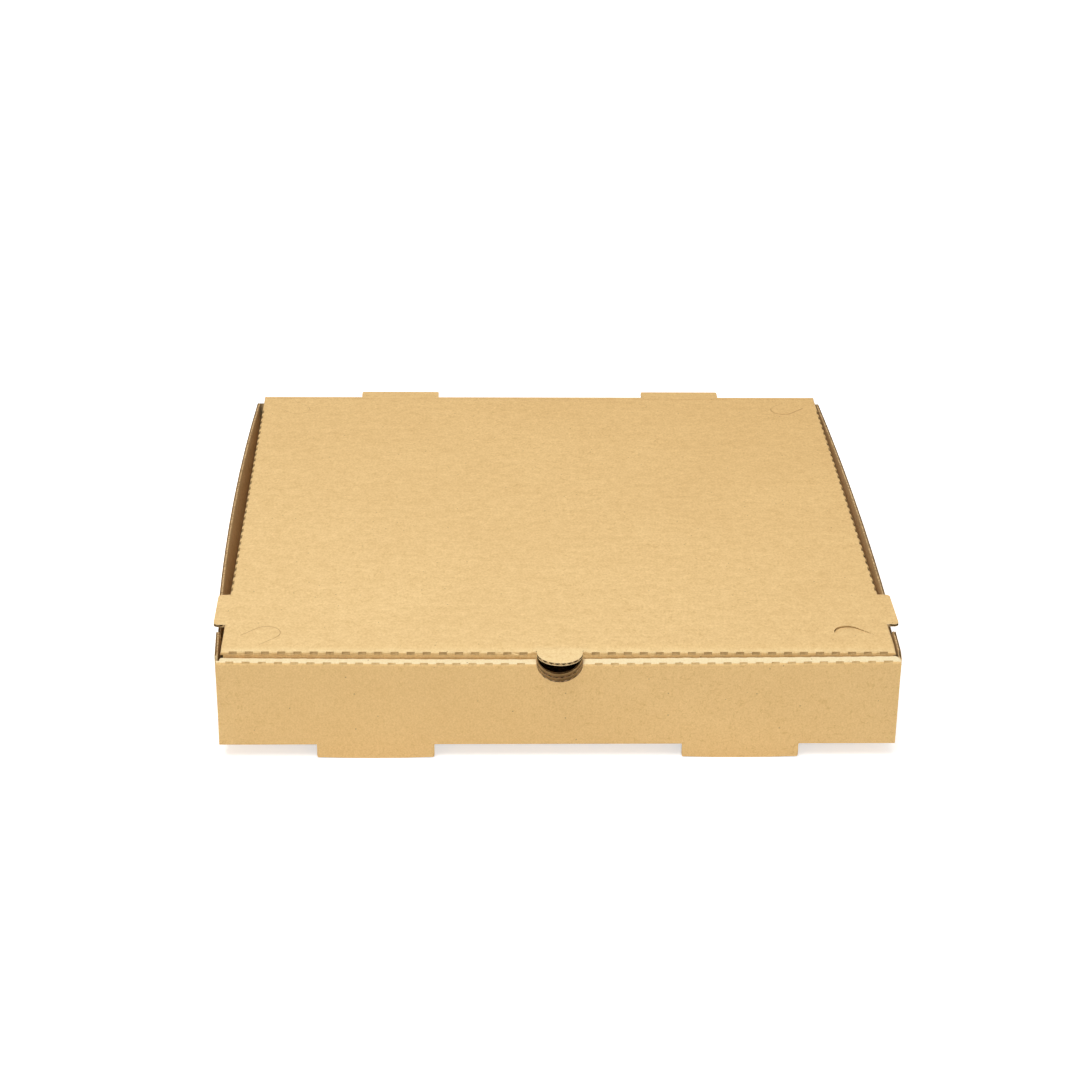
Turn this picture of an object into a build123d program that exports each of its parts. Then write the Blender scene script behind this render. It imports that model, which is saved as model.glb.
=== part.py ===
from build123d import *
from math import cos, hypot, radians, sin, tan
import os

# A corrugated pizza box, erected and shut. +X is its right-hand side, +Y runs from the
# front lock to the hinge, +Z is up, and the origin is the middle of the floor's underside.
# All sizes are millimetres.

# Board
board = 1.6               # thickness of the corrugated sheet
fold_radius = 1.2         # outside of a creased fold
slack = 0.4               # room between panels that lie against each other

# Tray
tray_width = 360.0        # over the side walls, along the floor
tray_depth = 358.8        # front face to hinge face
wall_height = 51.0        # underside of the floor to the tops of the side and back walls
front_height = 49.6       # and to the top of the rolled front wall
roll_radius = 2.0         # outside of the front wall's soft top fold
front_end_trim = 0.2      # front wall's ends, inside the side walls' outer faces
strip_end_gap = 0.4       # top strip's ends, inside the side walls' inner faces
strip_corner = 2.6        # rounded rear corners of the top strip
inner_wall_trim = 3.0     # inner wall's ends, inside the side walls' inner faces
right_bow = 3.0           # spring of the middle of a side wall's top edge
right_flare = 0.2         # lean of its rear end
left_bow = 4.6
left_flare = 2.0
front_flare = 0.6         # lean of the front ends of both
side_rear_inset = 4.3     # rear ends of the side walls, in front of the hinge face
front_flap_length = 62.0  # corner flaps held inside the double front wall
rear_flap_length = 46.0   # corner flaps that lie inside the back wall
rear_flap_drop = 5.0      # their top edge, below the wall's
rear_flap_corner = 9.0

# Notches in the side walls, under the lid's side tabs
notch_front = 34.0        # from the front face
notch_length = 39.0
notch_depth = 6.0
notch_round = 2.6
wall_end_round = 3.5

# Lock: feet turned down out of the floor, and the inner wall's tabs in their slots
foot_spread = 194.0       # between the middles of the two feet
foot_width = 62.3
foot_drop = 7.9           # at its middle
foot_crown = 0.6          # less at its ends
foot_round = 2.0
lock_tab_trim = 3.0       # a lock tab's ends, inside its slot
lock_tab_drop = 4.0       # below the floor's underside
lock_tab_round = 3.0

# Finger notch in the double front wall
finger_width = 25.0
finger_depth = 11.4

# Lid
lid_side_gap = 0.6        # lid's side flaps, inside the side walls' inner faces
lid_gap = 0.3             # lid's underside above the wall tops
crease_gap = 0.4          # lid's front crease behind the double wall
front_flap_height = 40.0
front_flap_lean = 5.0     # degrees, so that the flap swings clear of the inner wall
front_flap_trim = 1.4     # its ends, inside the lid's side edges
side_flap_height = 38.0
side_flap_front = 12.0    # from the front face
side_flap_rear = 14.0     # from the hinge face
lid_flap_corner = 12.0

# Tabs that stay in the plane of the lid
thumb_width = 24.2
thumb_reach = 13.2        # in front of the lid's front crease
side_tab_front = 37.2     # from the front face
side_tab_length = 35.4
side_tab_reach = 6.2
side_tab_round = 2.4
rear_tab_spread = 180.8   # between the middles of the two rear tabs
rear_tab_width = 49.5
rear_tab_reach = 8.7
rear_tab_round = 1.2
swing_clearance = 0.4     # round a rear tab as it swings through its hole

# Push-in tongues at the lid's corners
tongue_width = 15.0
tongue_side = 11.5        # straight sides of a tongue
tongue_inset_side = 22.6  # centre of its round end, from the lid's side edge
tongue_inset_front = 21.5
tongue_inset_rear = 21.0
tongue_turn = 45.0        # degrees, between a tongue and the lid's sides
tongue_push = 3.0         # degrees that the front right tongue is pressed down
kerf = 0.12

# Perforated creases
dash_pitch = 8.46
dash_length = 4.2
dash_depth = 1.2
lid_dash_clear = 19.0     # first dash of the lid's crease, from the middle of the front
strip_dash_clear = 20.4   # first dash of the top strip, from the middle of the front
dash_end_clear = 4.0      # last dash from the end of its crease
side_dash_gap = 7.0       # first dash behind a side tab

# Planes and lines that the panels share
front = -tray_depth / 2
rear = tray_depth / 2
inside_x = tray_width / 2 - board             # inner faces of the side walls
double_wall = 3 * board + 2 * slack           # front wall, corner flap and inner wall
inner_wall_back = front + double_wall
inner_wall_end = inside_x - inner_wall_trim
flap_face = front + board + slack             # front faces of the front corner flaps
side_rear = rear - side_rear_inset
lid_x = inside_x - lid_side_gap               # side edges of the lid
lid_bottom = wall_height + lid_gap
lid_top = lid_bottom + board
crease = inner_wall_back + crease_gap         # lid's front crease
front_flap_end = lid_x - front_flap_trim
hinge_y = rear - board / 2
hinge_z = lid_bottom + board / 2
far = tray_width + tray_depth                 # longer than any panel


def front_view(y):
    # Sketch plane seen from the front: local x is X and local y is Z.
    return Plane(origin=(0, y, 0), x_dir=(1, 0, 0), z_dir=(0, -1, 0))


def side_view(x):
    # Sketch plane seen from the right: local x is Y and local y is Z.
    return Plane(origin=(x, 0, 0), x_dir=(0, 1, 0), z_dir=(1, 0, 0))


def slab(*spans):
    middle = [(low + high) / 2 for low, high in spans]
    size = [high - low for low, high in spans]
    return Pos(*middle) * Box(*size)


def both_sides(shape):
    return shape + mirror(shape, about=Plane.YZ)


def tab(width, reach, root, corner):
    # Flat tab that points along -Y from a base line at y = 0, with rounded outer corners.
    shape = Pos(0, (root - reach) / 2) * Rectangle(width, root + reach)
    return fillet(shape.vertices().group_by(Axis.Y)[0], corner)


def round_tab(width, reach, root):
    # Flat tab that points along -Y from a base line at y = 0, with a half-round end.
    centre = width / 2 - reach
    body = Pos(0, (root + centre) / 2) * Rectangle(width, root - centre)
    return body + Pos(0, centre) * Circle(width / 2)


def dash_row(first, last):
    count = int((last - first) / dash_pitch) + 1
    return [first + i * dash_pitch for i in range(count)]


def cross_dashes(y, z, first, end):
    # Perforations along a crease that runs from side to side, on both sides of the middle.
    dash = Box(dash_length, 2 * dash_depth, 2 * dash_depth)
    row = dash_row(first, end - dash_end_clear)
    return [Pos(side * x, y, z) * dash for x in row for side in (1, -1)]


def wall_edge(start, end, bow):
    # Long edge of a side wall in plan: straight at the floor, sprung to an arc at the top.
    if bow == 0:
        return Line(start, end)
    middle = ((start[0] + end[0]) / 2 + bow, (start[1] + end[1]) / 2)
    return ThreePointArc(start, middle, end)


def side_plan(z, bow, flare, lean):
    # Plan section of the right side wall, bent round both ends into its corner flaps.
    front_y, rear_y = flap_face + board, side_rear - board
    inner, rear_inner = inside_x + lean, inside_x + flare
    front_end, rear_end = inside_x - front_flap_length, inside_x - rear_flap_length - board
    outline = [
        Line((front_end, flap_face), (inner, flap_face)),
        CenterArc((inner, front_y), board, -90, 90),
        wall_edge((inner + board, front_y), (rear_inner + board, rear_y), bow),
        CenterArc((rear_inner, rear_y), board, 0, 90),
        Line((rear_inner, side_rear), (rear_end, side_rear)),
        Line((rear_end, side_rear), (rear_end, rear_y)),
        Line((rear_end, rear_y), (rear_inner, rear_y)),
        wall_edge((rear_inner, rear_y), (inner, front_y), bow),
        Line((inner, front_y), (front_end, front_y)),
        Line((front_end, front_y), (front_end, flap_face)),
    ]
    return Plane.XY.offset(z) * make_face(outline)


def wall_top_cut():
    # Seen from the side, what is cut from a side wall: above its top edge, in front under the
    # top strip, in the notch and at the rear corner.
    start, end, above = front - board, side_rear + slack, wall_height + 2 * board
    under_strip = front_height - board - slack
    behind_bend = flap_face + board + slack
    notch_start = front + notch_front
    notch_end = notch_start + notch_length
    notch_floor = wall_height - notch_depth
    shape = make_face(
        Polyline(
            (start, above),
            (start, under_strip),
            (behind_bend, under_strip),
            (behind_bend, wall_height),
            (notch_start, wall_height),
            (notch_start, notch_floor),
            (notch_end, notch_floor),
            (notch_end, wall_height),
            (end, wall_height),
            (end, above),
            close=True,
        )
    )
    in_notch = shape.vertices().filter_by_position(Axis.X, notch_start - slack, notch_end + slack)
    shape = fillet(in_notch, notch_round)
    corner = Pos(end, wall_height) * Rectangle(2 * wall_end_round, 2 * wall_end_round)
    corner -= Pos(end - wall_end_round, wall_height - wall_end_round) * Circle(wall_end_round)
    return shape + corner


def rear_flap_cut():
    # What is cut away round a rear corner flap, which is shorter and lower than its wall.
    start, end = inside_x - rear_flap_length, inside_x - slack
    low, high = board + slack, wall_height - rear_flap_drop
    flap = Pos(start + rear_flap_length, (low + high) / 2) * Rectangle(2 * rear_flap_length, high - low)
    flap = fillet(flap.vertices().group_by(Axis.X)[0], rear_flap_corner)
    around = Pos((start - 2 * board + end) / 2, wall_height / 2)
    around *= Rectangle(end - start + 2 * board, wall_height + 2 * board)
    return extrude(front_view(rear) * (around - flap), amount=side_rear_inset + 2 * board)


def side_wall(bow, flare):
    # Right side wall, ruled from its straight crease at the floor to the sprung top edge.
    over = (wall_height + board) / wall_height
    top = board + over * (wall_height - board)
    foot_edge = side_plan(board, 0, 0, 0)
    top_edge = side_plan(top, over * bow, over * flare, over * front_flare)
    wall = loft([foot_edge, top_edge], ruled=True)
    wall -= extrude(side_view(inside_x - board) * wall_top_cut(), amount=4 * board + bow + flare)
    behind_bend = flap_face + board + slack
    wall -= slab((0, inside_x - slack), (front, behind_bend), (front_height - board - slack, far))
    wall -= slab((0, inside_x - slack), (front, behind_bend), (0, board + slack))
    return wall - rear_flap_cut()


def tray_section():
    # The sheet seen from the right: back wall, floor, front wall, top strip and inner wall.
    inner_foot = board + slack
    shape = make_face(
        Polyline(
            (rear, wall_height),
            (rear, 0),
            (front, 0),
            (front, front_height),
            (inner_wall_back, front_height),
            (inner_wall_back, inner_foot),
            (inner_wall_back - board, inner_foot),
            (inner_wall_back - board, front_height - board),
            (front + board, front_height - board),
            (front + board, board),
            (rear - board, board),
            (rear - board, wall_height),
            close=True,
        )
    )
    folds = [(rear, 0), (front, 0), (inner_wall_back, front_height)]
    creased = [shape.vertices().sort_by_distance((*fold, 0))[0] for fold in folds]
    shape = fillet(creased, fold_radius)
    rolled = shape.vertices().sort_by_distance((front, front_height, 0))[0]
    return fillet(rolled, roll_radius)


def floor_panel():
    # Floor between the side walls, with the rounded folds that the walls stand on.
    section = Pos(0, board / 2) * Rectangle(tray_width, board)
    section = fillet(section.vertices().group_by(Axis.Y)[0], fold_radius)
    return extrude(front_view(side_rear) * section, amount=side_rear - flap_face)


def end_trims():
    # What the front wall, top strip, inner wall and back wall lack at their ends.
    behind_front = (front + board, crease)
    inner_wall_ends = slab((inner_wall_end, far), behind_front, (board, front_height - board))
    back_wall_ends = slab((lid_x, far), (side_rear, far), (-board, far))
    strip_width = 2 * (inside_x - strip_end_gap)
    strip = Rot(0, 0, 180) * tab(strip_width, double_wall - board, board, strip_corner)
    band = Pos(0, double_wall / 2) * Rectangle(far, double_wall)
    beyond_strip = Pos(0, front + board) * (band - strip)
    strip_ends = extrude(Plane.XY.offset(front_height - board) * beyond_strip, amount=2 * board)
    return [both_sides(inner_wall_ends), both_sides(back_wall_ends), strip_ends]


def lock():
    # One foot in the plane of the front wall, the slot it leaves, and the tab in that slot.
    x = foot_spread / 2
    crown_radius = foot_width**2 / (8 * foot_crown)
    foot = tab(foot_width, foot_drop, board, foot_round)
    foot &= Pos(0, crown_radius - foot_drop) * Circle(crown_radius)
    foot = extrude(front_view(front + board) * (Pos(x, 0) * foot), amount=board)
    slot_span = (x - foot_width / 2, x + foot_width / 2)
    slot = slab(slot_span, (front + board, front + board + foot_drop), (-board, board + slack / 2))
    tab_width = foot_width - 2 * lock_tab_trim
    lock_tab = tab(tab_width, lock_tab_drop, board + 2 * slack, lock_tab_round)
    lock_tab = extrude(front_view(inner_wall_back) * (Pos(x, 0) * lock_tab), amount=board)
    return foot, slot, lock_tab


def vent_hole():
    # Hole in the back wall that a rear tab of the lid is cut from and swings through.
    swing = hypot(rear_tab_reach + board / 2, board / 2) + swing_clearance
    half_width = rear_tab_width / 2 + swing_clearance
    middle = rear_tab_spread / 2
    return slab((middle - half_width, middle + half_width), (rear - 2 * board, far), (hinge_z - swing, far))


def make_tray():
    front_half = tray_width / 2 - front_end_trim
    foot, slot, lock_tab = lock()
    finger = round_tab(finger_width, finger_depth, finger_width)
    finger = extrude(front_view(crease) * (Pos(0, front_height) * finger), amount=far)
    sheet = extrude(side_view(0) * tray_section(), amount=front_half, both=True)
    sheet -= end_trims()
    sheet += floor_panel()
    sheet -= both_sides(slot)
    sheet += [both_sides(foot), both_sides(lock_tab)]
    sheet += side_wall(right_bow, right_flare)
    sheet += mirror(side_wall(left_bow, left_flare), about=Plane.YZ)
    sheet -= [both_sides(vent_hole()), finger]
    sheet -= cross_dashes(front, front_height, strip_dash_clear, inside_x)
    return sheet


def lid_section():
    # Lid seen from the right: the panel, round at the hinge, and the front flap.
    lean = radians(front_flap_lean)
    low = (crease + front_flap_height * sin(lean), lid_top - front_flap_height * cos(lean))
    low_inside = (low[0] + board * cos(lean), low[1] + board * sin(lean))
    corner_inside = (crease + board * cos(lean) + board * (1 + sin(lean)) * tan(lean), lid_bottom)
    shape = make_face(
        [
            Line((hinge_y, lid_top), (crease, lid_top)),
            Line((crease, lid_top), low),
            Line(low, low_inside),
            Line(low_inside, corner_inside),
            Line(corner_inside, (hinge_y, lid_bottom)),
            ThreePointArc((hinge_y, lid_bottom), (rear, hinge_z), (hinge_y, lid_top)),
        ]
    )
    return fillet(shape.vertices().sort_by_distance((crease, lid_top, 0))[0], fold_radius)


def panel_and_front_flap():
    # The lid's section across its width, with rounded folds along the sides.
    panel = extrude(side_view(0) * lid_section(), amount=lid_x, both=True)
    corner = Pos(lid_x, lid_top) * Rectangle(2 * fold_radius, 2 * fold_radius)
    corner -= Pos(lid_x - fold_radius, lid_top - fold_radius) * Circle(fold_radius)
    panel -= both_sides(extrude(front_view(far) * corner, amount=2 * far))
    panel -= both_sides(slab((front_flap_end, far), (-far, crease + front_flap_height), (-far, lid_bottom)))
    flap_ends = panel.faces().sort_by(Axis.Z)[0].edges().filter_by(Axis.X, reverse=True)
    panel = fillet(flap_ends, lid_flap_corner)
    hole = round_tab(thumb_width, thumb_reach, thumb_width)
    flap_depth = front_flap_height * sin(radians(front_flap_lean)) + 2 * board
    return panel - extrude(front_view(crease + flap_depth) * (Pos(0, lid_top) * hole), amount=far)


def side_flap():
    # Right side flap of the lid, with the hole that its side tab is cut from.
    start, end = front + side_flap_front, rear - side_flap_rear
    low, high = lid_top - side_flap_height, lid_bottom + board / 2
    shape = Pos((start + end) / 2, (low + high) / 2) * Rectangle(end - start, high - low)
    shape = fillet(shape.vertices().group_by(Axis.Y)[0], lid_flap_corner)
    flap = extrude(side_view(lid_x - board) * shape, amount=board)
    tab_start = front + side_tab_front
    hole_span = (tab_start, tab_start + side_tab_length)
    return flap - slab((0, far), hole_span, (lid_top - side_tab_reach, lid_bottom))


def lid_tabs():
    # Thumb tab, and one side tab and one rear tab of the right-hand half.
    thumb = Pos(0, crease) * round_tab(thumb_width, thumb_reach, thumb_width)
    side_middle = front + side_tab_front + side_tab_length / 2
    side = tab(side_tab_length, side_tab_reach, side_tab_length, side_tab_round)
    side = Pos(lid_x, side_middle) * Rot(0, 0, 90) * side
    back = tab(rear_tab_width, rear_tab_reach, rear_tab_reach, rear_tab_round)
    back = Pos(rear_tab_spread / 2, rear) * Rot(0, 0, 180) * back
    flat = [extrude(Plane.XY.offset(lid_bottom) * shape, amount=board) for shape in (thumb, side, back)]
    return flat[0], both_sides(flat[1]), both_sides(flat[2])


def tongue_places():
    # Middles of the round ends of the two right-hand tongues, which point at the lid's middle.
    x = lid_x - tongue_inset_side
    front_place = Pos(x, crease + tongue_inset_front, lid_bottom) * Rot(0, 0, -90 - tongue_turn)
    rear_place = Pos(x, rear - tongue_inset_rear, lid_bottom) * Rot(0, 0, tongue_turn - 90)
    return front_place, rear_place


def tongue_slits():
    # U-shaped cuts round the tongues at the lid's four corners.
    outer, inner = tongue_width + kerf, tongue_width - kerf
    slit = round_tab(outer, outer / 2, tongue_side) - round_tab(inner, inner / 2, tongue_side)
    cut = extrude(Plane.XY.offset(-board) * slit, amount=3 * board)
    return [both_sides(place * cut) for place in tongue_places()]


def press_tongue(lid):
    # Turn the front right tongue down about its root.
    width = tongue_width - kerf
    shape = round_tab(width, width / 2, tongue_side)
    gap = extrude(Plane.XY.offset(-board) * shape, amount=3 * board)
    root = Pos(0, tongue_side, board)
    tongue = root * Rot(tongue_push, 0, 0) * root.inverse() * extrude(shape, amount=board)
    place = tongue_places()[0]
    return lid - place * gap + place * tongue


def side_dashes():
    # Perforations along the lid's side folds, behind the side tabs.
    first = front + side_tab_front + side_tab_length + side_dash_gap
    dash = Box(2 * dash_depth, dash_length, 2 * dash_depth)
    row = dash_row(first, rear - side_flap_rear - dash_end_clear)
    return [Pos(side * lid_x, y, lid_top) * dash for y in row for side in (1, -1)]


def make_lid():
    lid = panel_and_front_flap()
    lid += both_sides(side_flap())
    lid += list(lid_tabs())
    lid -= tongue_slits()
    lid -= cross_dashes(crease, lid_top, lid_dash_clear, front_flap_end)
    lid -= side_dashes()
    return press_tongue(lid)


os.makedirs("parts", exist_ok=True)
export_step(make_tray(), "parts/tray.step")
export_step(make_lid(), "parts/lid.step")
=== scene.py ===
from math import atan2, cos, pi, radians, sin

import bmesh
import bpy
from mathutils import Matrix, Vector
from mathutils.bvhtree import BVHTree


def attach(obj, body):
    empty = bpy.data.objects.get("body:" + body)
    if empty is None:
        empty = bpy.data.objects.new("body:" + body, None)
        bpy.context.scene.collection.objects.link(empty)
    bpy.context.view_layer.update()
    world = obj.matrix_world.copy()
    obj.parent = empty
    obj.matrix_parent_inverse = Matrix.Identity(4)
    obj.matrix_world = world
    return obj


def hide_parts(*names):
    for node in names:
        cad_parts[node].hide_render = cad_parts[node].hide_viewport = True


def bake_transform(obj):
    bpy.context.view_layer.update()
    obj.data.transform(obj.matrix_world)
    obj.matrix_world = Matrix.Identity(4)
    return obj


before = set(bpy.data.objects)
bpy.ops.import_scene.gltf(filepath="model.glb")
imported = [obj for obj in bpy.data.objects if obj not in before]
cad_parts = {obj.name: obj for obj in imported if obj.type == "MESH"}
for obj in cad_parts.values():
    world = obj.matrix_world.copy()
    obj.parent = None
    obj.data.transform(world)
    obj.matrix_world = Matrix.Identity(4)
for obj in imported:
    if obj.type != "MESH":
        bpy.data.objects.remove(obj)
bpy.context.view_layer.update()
mm = 0.001  # sizes below are in millimetres, the scene is in metres

# the corrugated sheet: one flute every 3.2 mm between two liners
boardStock = {
    "thick": 1.6,
    "pitch": 3.2,
    "liner": 0.24,
    "medium": 0.18,
    "neck": 0.22,      # glue line at each flute tip
    "steps": 8,
    "bowCuts": 31,     # cuts along flutes that follow a sprung wall
    "rawDepth": 1.95,  # a face with more board than this behind it is a cut edge
    "probe": 0.01,     # the look into the board starts this far under a face
    "foldAngle": 30,   # faces that meet at less than this are one surface
    "sharpAngle": 32,  # edges that stay crisp once the flutes are cut
    "weld": 0.002,     # corners closer than this become one
    "sliver": 0.001,
}

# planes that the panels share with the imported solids
boxPlan = {
    "wallTop": 51.0,
    "frontTop": 49.6,     # top of the rolled front wall
    "frontMid": -178.6,   # middle of the front wall's board
    "innerMid": -174.6,   # middle of the inner wall's board
    "backMid": 178.6,
    "sideIn": 178.4,      # inner faces of the side walls
    "sideFront": -175.8,  # where the side walls leave their corner bends
    "sideRear": 173.5,
    "lidEdge": 177.8,
    "lidMid": 52.1,
    "lidTop": 52.9,
    "crease": -173.4,
}
linerSlot, rawSlot, fluteSlot, insideSlot, scoreSlot = range(5)  # material slots of both board pieces
xAxis, yAxis, zAxis = Vector((1, 0, 0)), Vector((0, 1, 0)), Vector((0, 0, 1))


def laidOut(origin, across, along, through):
    # local x runs across the flutes, y along them, z through the board
    place = Matrix.Identity(4)
    for c, col in enumerate((across, along, through, Vector(origin) * mm)):
        for r in range(3):
            place[r][c] = col[r]
    return place


def fluteCells(cells, length, cuts, rows):
    # the hollow cells of a strip of board, on one or both sides of its wavy middle paper
    stock = boardStock
    high = stock["thick"] / 2 - stock["liner"]
    swing = high - stock["medium"] / 2
    pitch, steps = stock["pitch"], stock["steps"]
    bm = bmesh.new()
    for side in rows:
        shift = 0 if side > 0 else pitch / 2
        ring = [(stock["neck"], high)]
        for i in range(1, steps):
            ring.append((pitch * i / steps, swing * cos(2 * pi * i / steps) + stock["medium"] / 2))
        ring += [(pitch - stock["neck"], high)]
        corners = [bm.verts.new(((x + shift) * mm, 0, side * z * mm)) for x, z in ring]
        end = bm.faces.new(corners)
        grown = bmesh.ops.extrude_face_region(bm, geom=[end])["geom"]
        tip = [v for v in grown if isinstance(v, bmesh.types.BMVert)]
        bmesh.ops.translate(bm, vec=(0, length * mm, 0), verts=tip)
    if cuts:
        sides = [e for e in bm.edges if abs(e.verts[0].co.y - e.verts[1].co.y) > length * mm / 2]
        bmesh.ops.subdivide_edges(bm, edges=sides, cuts=cuts)
    pair = bm.verts[:] + bm.edges[:] + bm.faces[:]
    for i in range(1, cells):
        copy = bmesh.ops.duplicate(bm, geom=pair)["geom"]
        moved = [v for v in copy if isinstance(v, bmesh.types.BMVert)]
        bmesh.ops.translate(bm, vec=(i * pitch * mm, 0, 0), verts=moved)
    for face in bm.faces:
        face.material_index = fluteSlot
    return bm


def addBank(cutter, place, cells, length, bow=None, rows=(1, -1)):
    bank = fluteCells(cells, length, boardStock["bowCuts"] if bow else 0, rows)
    bmesh.ops.transform(bank, matrix=place, verts=bank.verts)
    if bow:
        for v in bank.verts:
            v.co.x += bow(v.co.y / mm, v.co.z / mm) * mm
    bmesh.ops.recalc_face_normals(bank, faces=bank.faces)
    mesh = bpy.data.meshes.new("bank")
    bank.to_mesh(mesh)
    bank.free()
    cutter.from_mesh(mesh)
    bpy.data.meshes.remove(mesh)


def bankAcross(cutter, middle, y, z, cells, along, through, length, rows=(1, -1)):
    # cells side by side along X, centred on a line
    width = (cells + (0.5 if len(rows) > 1 else 0)) * boardStock["pitch"]
    addBank(cutter, laidOut((middle - width / 2, y, z), xAxis, along, through), cells, length, rows=rows)


def boardCopy(node, name):
    bm = bmesh.new()
    bm.from_mesh(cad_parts[node].data)
    bmesh.ops.remove_doubles(bm, verts=bm.verts, dist=boardStock["weld"] * mm)
    bmesh.ops.dissolve_degenerate(bm, edges=bm.edges, dist=boardStock["sliver"] * mm)
    bm.normal_update()
    markCutEdges(bm)
    markInside(bm)
    markScores(bm, node)
    if node == "tray":
        tuckCorner(bm)
        sagStrip(bm)
    else:
        rollFold(bm)
    mesh = bpy.data.meshes.new(name)
    bm.to_mesh(mesh)
    bm.free()
    return mesh


def smoothGroups(bm, angle):
    # sets of faces that run into each other with no sharp edge between
    groups, seen = [], set()
    for face in bm.faces:
        if face in seen:
            continue
        seen.add(face)
        group, waiting = [], [face]
        while waiting:
            here = waiting.pop()
            group.append(here)
            for edge in here.edges:
                if edge.calc_face_angle(pi) < angle:
                    beyond = [f for f in edge.link_faces if f not in seen]
                    seen.update(beyond)
                    waiting += beyond
        groups.append(group)
    return groups


def markCutEdges(bm):
    # a liner has one board's thickness behind it, a cut edge has more
    tree = BVHTree.FromBMesh(bm)
    count = 0
    for group in smoothGroups(bm, radians(boardStock["foldAngle"])):
        deep = area = 0
        for face in group:
            start = face.calc_center_median() - face.normal * boardStock["probe"] * mm
            depth = tree.ray_cast(start, -face.normal)[3]
            size = face.calc_area()
            area += size
            deep += size if depth is not None and depth > boardStock["rawDepth"] * mm else 0
        raw = deep > 0.5 * area
        count += raw
        for face in group:
            face.material_index = rawSlot if raw else linerSlot
    print("  cut edges", count)


insideView = {"heart": (0, 0, 22), "least": 0.05}  # a point in the box, and how far a face turns to it


def markInside(bm):
    # liner faces that look into the box; the rolled inner wall shows the sheet's outer side
    heart = Vector(insideView["heart"]) * mm
    for face in bm.faces:
        middle = face.calc_center_median()
        inward = face.normal.dot((heart - middle).normalized())
        looksIn = inward > insideView["least"] and middle.y > boxPlan["crease"] * mm
        if looksIn and face.material_index == linerSlot:
            face.material_index = insideSlot


scorePlan = {
    "clear": 16,  # no dashes nearer to the middle of the front than this
    "strip": {"front": -177.2, "low": 47.4},
    "frontCrease": {"beside": 1.6, "deep": 1.7},
    "sideCrease": {"inside": 1.6, "outside": 0.1, "deep": 1.3, "start": -102},
    "tongues": {"from": 140, "to": 172, "deep": 1.5},
}


def markScores(bm, node):
    # dashes of the creases and slits of the push-in tongues
    edge, crease, lidTop = (boxPlan[k] for k in ("lidEdge", "crease", "lidTop"))
    strip, fold, side, slits = (scorePlan[k] for k in ("strip", "frontCrease", "sideCrease", "tongues"))
    for face in bm.faces:
        x, y, z = face.calc_center_median() / mm
        beside = abs(x) > scorePlan["clear"]
        if node == "tray":
            score = beside and y < strip["front"] and z > strip["low"]
        elif beside and abs(y - crease) < fold["beside"]:
            score = z > lidTop - fold["deep"]
        elif abs(x) > edge - side["inside"]:
            score = z > lidTop - side["deep"] and y > side["start"] and abs(x) < edge + side["outside"]
        else:
            near = all(slits["from"] < abs(v) < slits["to"] for v in (x, y))
            score = near and z > boxPlan["lidMid"] - slits["deep"]
        if score and face.material_index == rawSlot:
            face.material_index = scoreSlot


def eased(value, low, high):
    t = min(max((value - low) / (high - low), 0), 1)
    return t * t * (3 - 2 * t)


def spanOf(face, axis):
    # lowest and highest corner of a face
    places = [v.co[axis] / mm for v in face.verts]
    return min(places), max(places)


def sliceAt(bm, faces, point, normal):
    # extra vertices where a plane crosses some faces
    parts = faces + list({e for f in faces for e in f.edges}) + list({v for f in faces for v in f.verts})
    bmesh.ops.bisect_plane(bm, geom=parts, plane_co=point, plane_no=normal, dist=0.0001 * mm)


stripSag = {
    "ends": 0.4,
    "middle": -0.85,
    "from": 20.0,             # the wall is straight below this
    "back": -170,             # and all of it is in front of this
    "cuts": 47,
    "tiltMiddle": 0.25,       # how far the rear fold stands above the front fold
    "tiltRight": 0.6,
    "tiltOver": (-20, 70),    # and where along the strip the right-hand tilt sets in
    "folds": (-178, -174.4),  # front and rear fold
    "end": 178.15,
}


def sagAt(x):
    rise = stripSag["ends"] - stripSag["middle"]
    return stripSag["middle"] + rise * min((x / boxPlan["sideIn"]) ** 2, 1)


def tiltAt(x):
    middle = stripSag["tiltMiddle"] * (1 - min((x / boxPlan["sideIn"]) ** 2, 1))
    return middle + stripSag["tiltRight"] * eased(x, *stripSag["tiltOver"])


def sagStrip(bm):
    # the top of the rolled front wall hangs a little between its ends
    sag, half = stripSag, boxPlan["sideIn"]
    for i in range(1, sag["cuts"] + 1):
        x = half * (2 * i / (sag["cuts"] + 1) - 1)
        wall = [f for f in bm.faces if f.calc_center_median().y < sag["back"] * mm and f.normal.x ** 2 < 0.5]
        sliceAt(bm, wall, (x * mm, 0, 0), xAxis)
    for v in bm.verts:
        x, y, z = v.co / mm
        if y < sag["back"]:
            share = (z - sag["from"]) / (boxPlan["frontTop"] - sag["from"])
            rise = sagAt(x) + tiltAt(x) * eased(y, *sag["folds"]) * (abs(x) < sag["end"])
            v.co.z += min(max(share, 0), 1) * rise * mm


cornerTuck = {
    "wide": 1.4,
    "dip": 2.2,
    "from": 168.5,  # the dip runs between these two, towards the front
    "to": 175.5,
    "slices": 6,
    "sliced": {"x": 178.1, "y": -168, "z": 48},
    "wall": {"x": 178.15, "y": (-177, -168), "z": (44, 50)},
    "strip": {"x": (172, 178), "y": (174.6, 176.4), "back": -173.6, "low": 47.5},
}


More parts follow.
